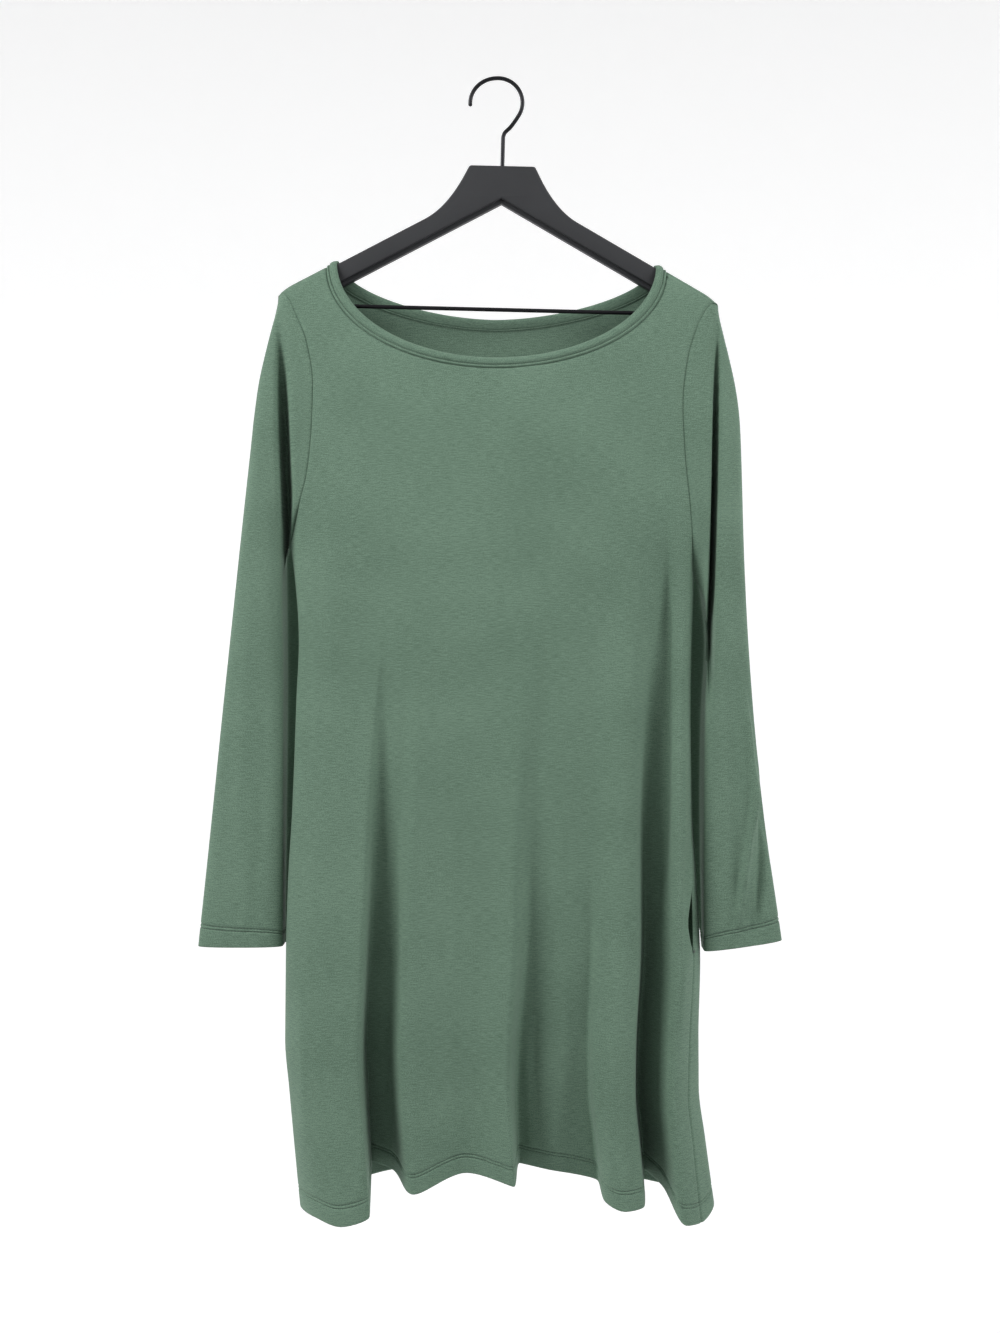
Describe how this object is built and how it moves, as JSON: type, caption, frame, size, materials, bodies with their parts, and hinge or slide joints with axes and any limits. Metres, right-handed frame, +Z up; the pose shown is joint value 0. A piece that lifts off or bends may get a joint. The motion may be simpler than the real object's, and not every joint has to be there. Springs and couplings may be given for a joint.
{
  "type": "swing dress on a hanger",
  "caption": "Long-sleeved A-line swing dress in soft jersey with a bound boat neck and side seam pockets, hung open on a slim hanger with a wire hook.",
  "frame": {"origin": "inside top of the hanger's hook, where the hanger hangs on a rail or peg", "axes": "+Z up, the dress's front faces -Y, the wearer's left is +X"},
  "size_m": [0.5811, 0.0992, 1.1339],
  "materials": {
    "jersey": "matte sage green fine knit",
    "hanger_moulding": "matte charcoal",
    "hanger_metal": "satin black"
  },
  "bodies": {
    "root": {"dress_front": "jersey", "dress_back": "jersey", "sleeve_right": "jersey", "sleeve_left": "jersey", "neckband": "jersey", "pocket_bag_right": "jersey", "pocket_bag_left": "jersey", "hanger_body": "hanger_moulding", "hanger_bar": "hanger_metal", "hanger_hook": "hanger_metal"}
  },
  "joints": []
}
